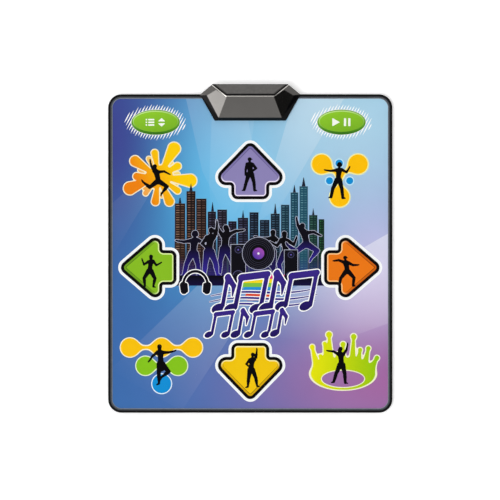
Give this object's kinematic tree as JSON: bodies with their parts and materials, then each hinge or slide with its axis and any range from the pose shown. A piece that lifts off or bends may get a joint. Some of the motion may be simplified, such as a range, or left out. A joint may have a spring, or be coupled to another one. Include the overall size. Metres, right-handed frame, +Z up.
{
  "type": "dance mat controller",
  "caption": "Flat padded floor mat with sprung arrow, corner and oval foot pads, film switches inside, and a faceted control box with a lead socket on its rear edge.",
  "frame": {"origin": "centre of the mat's outline, on the flat underside that rests on the floor", "axes": "+Z up from the floor, +Y from the middle of the mat towards the control box on its rear edge, +X to the player's right when the player faces the control box"},
  "size_m": [0.83, 0.959, 0.04],
  "materials": {
    "base_cloth": "matt non-slip backing with a fine dimple",
    "core_foam": "closed-cell foam, matt",
    "circuit_film": "thin polyester film with printed tracks",
    "spacer_foam": "thin open foam, matt",
    "printed_cover": "printed vinyl sheet, satin",
    "binding_tape": "woven tape, dark blue grey",
    "purple_print": "printed vinyl, satin",
    "yellow_print": "printed vinyl, satin",
    "green_print": "printed vinyl, satin",
    "orange_print": "printed vinyl, satin",
    "amber_print": "printed vinyl, satin",
    "leaf_print": "printed vinyl, satin",
    "lime_print": "printed vinyl, satin",
    "carbon_print": "printed carbon, matt",
    "box_plastic": "moulded plastic, gloss black",
    "panel_plastic": "moulded plastic, dark grey",
    "board_laminate": "green solder mask",
    "chip_plastic": "moulded epoxy, matt",
    "crystal_can": "drawn metal can",
    "capacitor_sleeve": "shrunk sleeve, satin",
    "connector_plastic": "moulded nylon, ivory",
    "socket_plastic": "moulded plastic, black",
    "screw_steel": "zinc plated"
  },
  "bodies": {
    "mat": {"base_cloth": "base_cloth", "foam_core": "core_foam", "lower_circuit_film": "circuit_film", "spacer_foam": "spacer_foam", "upper_circuit_film": "circuit_film", "top_cover": "printed_cover", "edge_binding": "binding_tape", "box_bottom_shell": "box_plastic", "box_top_shell": "box_plastic", "box_rear_panel": "panel_plastic", "circuit_board": "board_laminate", "controller_chip": "chip_plastic", "clock_crystal": "crystal_can", "capacitor": "capacitor_sleeve", "lower_film_connector": "connector_plastic", "upper_film_connector": "connector_plastic", "lead_socket": "socket_plastic", "box_screw_side_left": "screw_steel", "box_screw_side_right": "screw_steel", "box_screw_front_left": "screw_steel", "box_screw_front_right": "screw_steel", "box_screw_rear_left": "screw_steel", "box_screw_rear_right": "screw_steel", "board_screw_front_left": "screw_steel", "board_screw_front_right": "screw_steel", "board_screw_rear_left": "screw_steel", "board_screw_rear_right": "screw_steel"},
    "up_arrow": {"up_arrow_pad": "purple_print", "up_arrow_contact": "carbon_print"},
    "down_arrow": {"down_arrow_pad": "yellow_print", "down_arrow_contact": "carbon_print"},
    "left_arrow": {"left_arrow_pad": "green_print", "left_arrow_contact": "carbon_print"},
    "right_arrow": {"right_arrow_pad": "orange_print", "right_arrow_contact": "carbon_print"},
    "select": {"select_pad": "green_print", "select_contact": "carbon_print"},
    "start": {"start_pad": "green_print", "start_contact": "carbon_print"},
    "rear_left_corner": {"rear_left_corner_pad": "amber_print", "rear_left_corner_contact": "carbon_print"},
    "rear_right_corner": {"rear_right_corner_pad": "yellow_print", "rear_right_corner_contact": "carbon_print"},
    "front_left_corner": {"front_left_corner_pad": "leaf_print", "front_left_corner_contact": "carbon_print"},
    "front_right_corner": {"front_right_corner_pad": "lime_print", "front_right_corner_contact": "carbon_print"}
  },
  "joints": [
    {"name": "up_arrow_press", "type": "slide", "parent": "mat", "child": "up_arrow", "axis": [0, 0, -1], "range_m": [0, 0.0023], "stiffness_N_per_m": 1500, "springref_m": -0.001},
    {"name": "down_arrow_press", "type": "slide", "parent": "mat", "child": "down_arrow", "axis": [0, 0, -1], "range_m": [0, 0.0023], "stiffness_N_per_m": 1500, "springref_m": -0.001},
    {"name": "left_arrow_press", "type": "slide", "parent": "mat", "child": "left_arrow", "axis": [0, 0, -1], "range_m": [0, 0.0023], "stiffness_N_per_m": 1500, "springref_m": -0.001},
    {"name": "right_arrow_press", "type": "slide", "parent": "mat", "child": "right_arrow", "axis": [0, 0, -1], "range_m": [0, 0.0023], "stiffness_N_per_m": 1500, "springref_m": -0.001},
    {"name": "select_press", "type": "slide", "parent": "mat", "child": "select", "axis": [0, 0, -1], "range_m": [0, 0.0023], "stiffness_N_per_m": 1500, "springref_m": -0.001},
    {"name": "start_press", "type": "slide", "parent": "mat", "child": "start", "axis": [0, 0, -1], "range_m": [0, 0.0023], "stiffness_N_per_m": 1500, "springref_m": -0.001},
    {"name": "rear_left_corner_press", "type": "slide", "parent": "mat", "child": "rear_left_corner", "axis": [0, 0, -1], "range_m": [0, 0.0023], "stiffness_N_per_m": 1500, "springref_m": -0.001},
    {"name": "rear_right_corner_press", "type": "slide", "parent": "mat", "child": "rear_right_corner", "axis": [0, 0, -1], "range_m": [0, 0.0023], "stiffness_N_per_m": 1500, "springref_m": -0.001},
    {"name": "front_left_corner_press", "type": "slide", "parent": "mat", "child": "front_left_corner", "axis": [0, 0, -1], "range_m": [0, 0.0023], "stiffness_N_per_m": 1500, "springref_m": -0.001},
    {"name": "front_right_corner_press", "type": "slide", "parent": "mat", "child": "front_right_corner", "axis": [0, 0, -1], "range_m": [0, 0.0023], "stiffness_N_per_m": 1500, "springref_m": -0.001}
  ]
}
